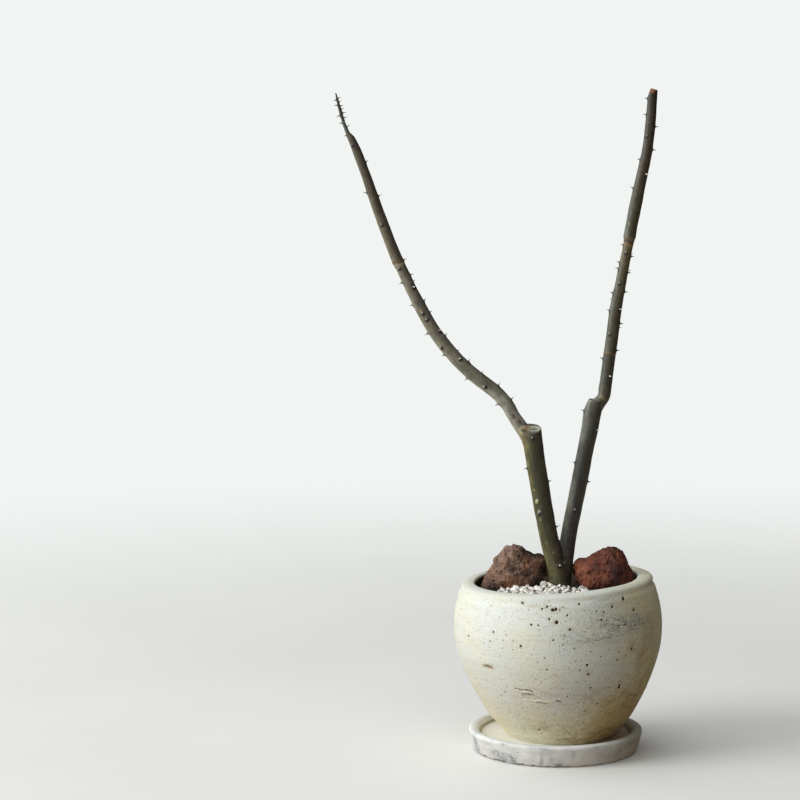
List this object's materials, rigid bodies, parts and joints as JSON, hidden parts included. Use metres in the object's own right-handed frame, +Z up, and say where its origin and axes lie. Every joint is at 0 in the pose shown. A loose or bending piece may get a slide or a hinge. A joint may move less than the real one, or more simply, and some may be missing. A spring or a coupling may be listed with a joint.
{
  "type": "potted alluaudia dumosa",
  "caption": "Forked thorny succulent cutting with long bare shoots, in a round-bellied cream ceramic pot with gravel and lava rocks, on a matching saucer.",
  "frame": {"origin": "centre of the saucer's flat underside", "axes": "+Z up, +X to the right as seen from the plant's front, +Y away from the viewer"},
  "size_m": [0.206, 0.131, 0.4155],
  "materials": {
    "saucer_ceramic": "matt white slip with lavender grey smudges",
    "pot_ceramic": "matt cream slip, pitted, brushed and stained",
    "drain_mesh": "black plastic net",
    "soil": "dark granular potting mix",
    "gravel": "white angular pumice grains",
    "lava_rock_grey": "rough porous lava, grey brown",
    "lava_rock_red": "rough porous lava, red brown",
    "plant_bark": "satin olive and grey stem skin"
  },
  "bodies": {
    "root": {"saucer": "saucer_ceramic", "pot": "pot_ceramic", "drain_mesh": "drain_mesh", "soil": "soil", "gravel": "gravel", "lava_rock_left": "lava_rock_grey", "lava_rock_right": "lava_rock_red", "plant": "plant_bark"}
  },
  "joints": []
}
